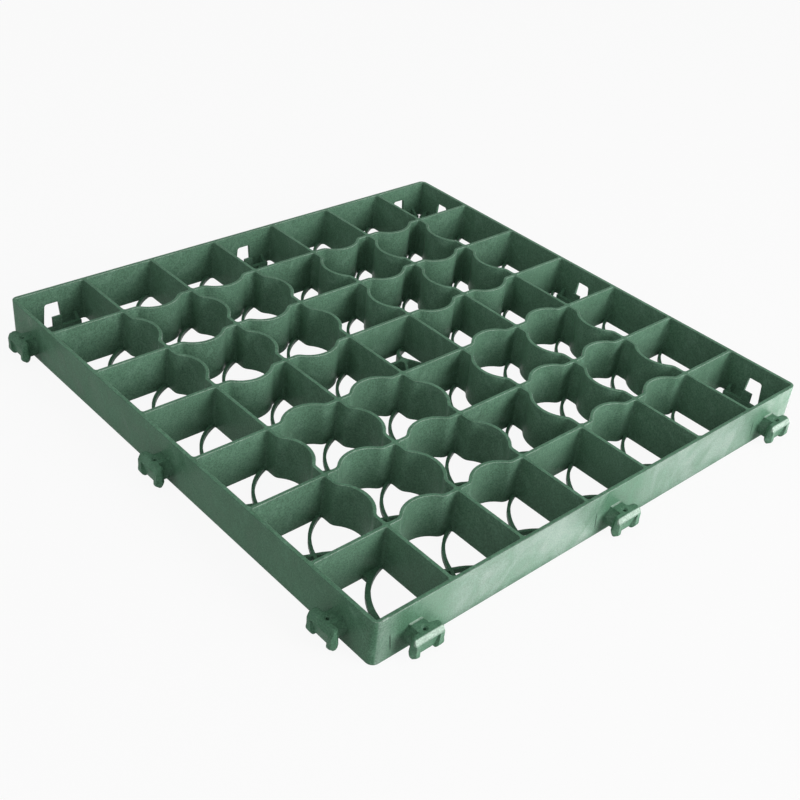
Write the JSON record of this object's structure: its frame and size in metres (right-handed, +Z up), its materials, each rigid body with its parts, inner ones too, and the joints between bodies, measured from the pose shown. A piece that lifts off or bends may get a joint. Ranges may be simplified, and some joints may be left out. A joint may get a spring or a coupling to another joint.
{
  "type": "gravel grid",
  "caption": "Square open ground grid with wavy cell walls, crossed base bars, side clips and matching slots, for holding gravel.",
  "frame": {"origin": "middle of the square frame, on its underside; the clips stand out beyond the square on the -X and -Y sides", "axes": "+Z up, out of the cells' open tops; +X and +Y point to the two sides with slots, -X and -Y to the two sides with clips"},
  "size_m": [0.5162, 0.5162, 0.04],
  "materials": {
    "green_plastic": "moulded green plastic with a slight sheen"
  },
  "bodies": {
    "root": {"gravel_grid": "green_plastic"}
  },
  "joints": []
}
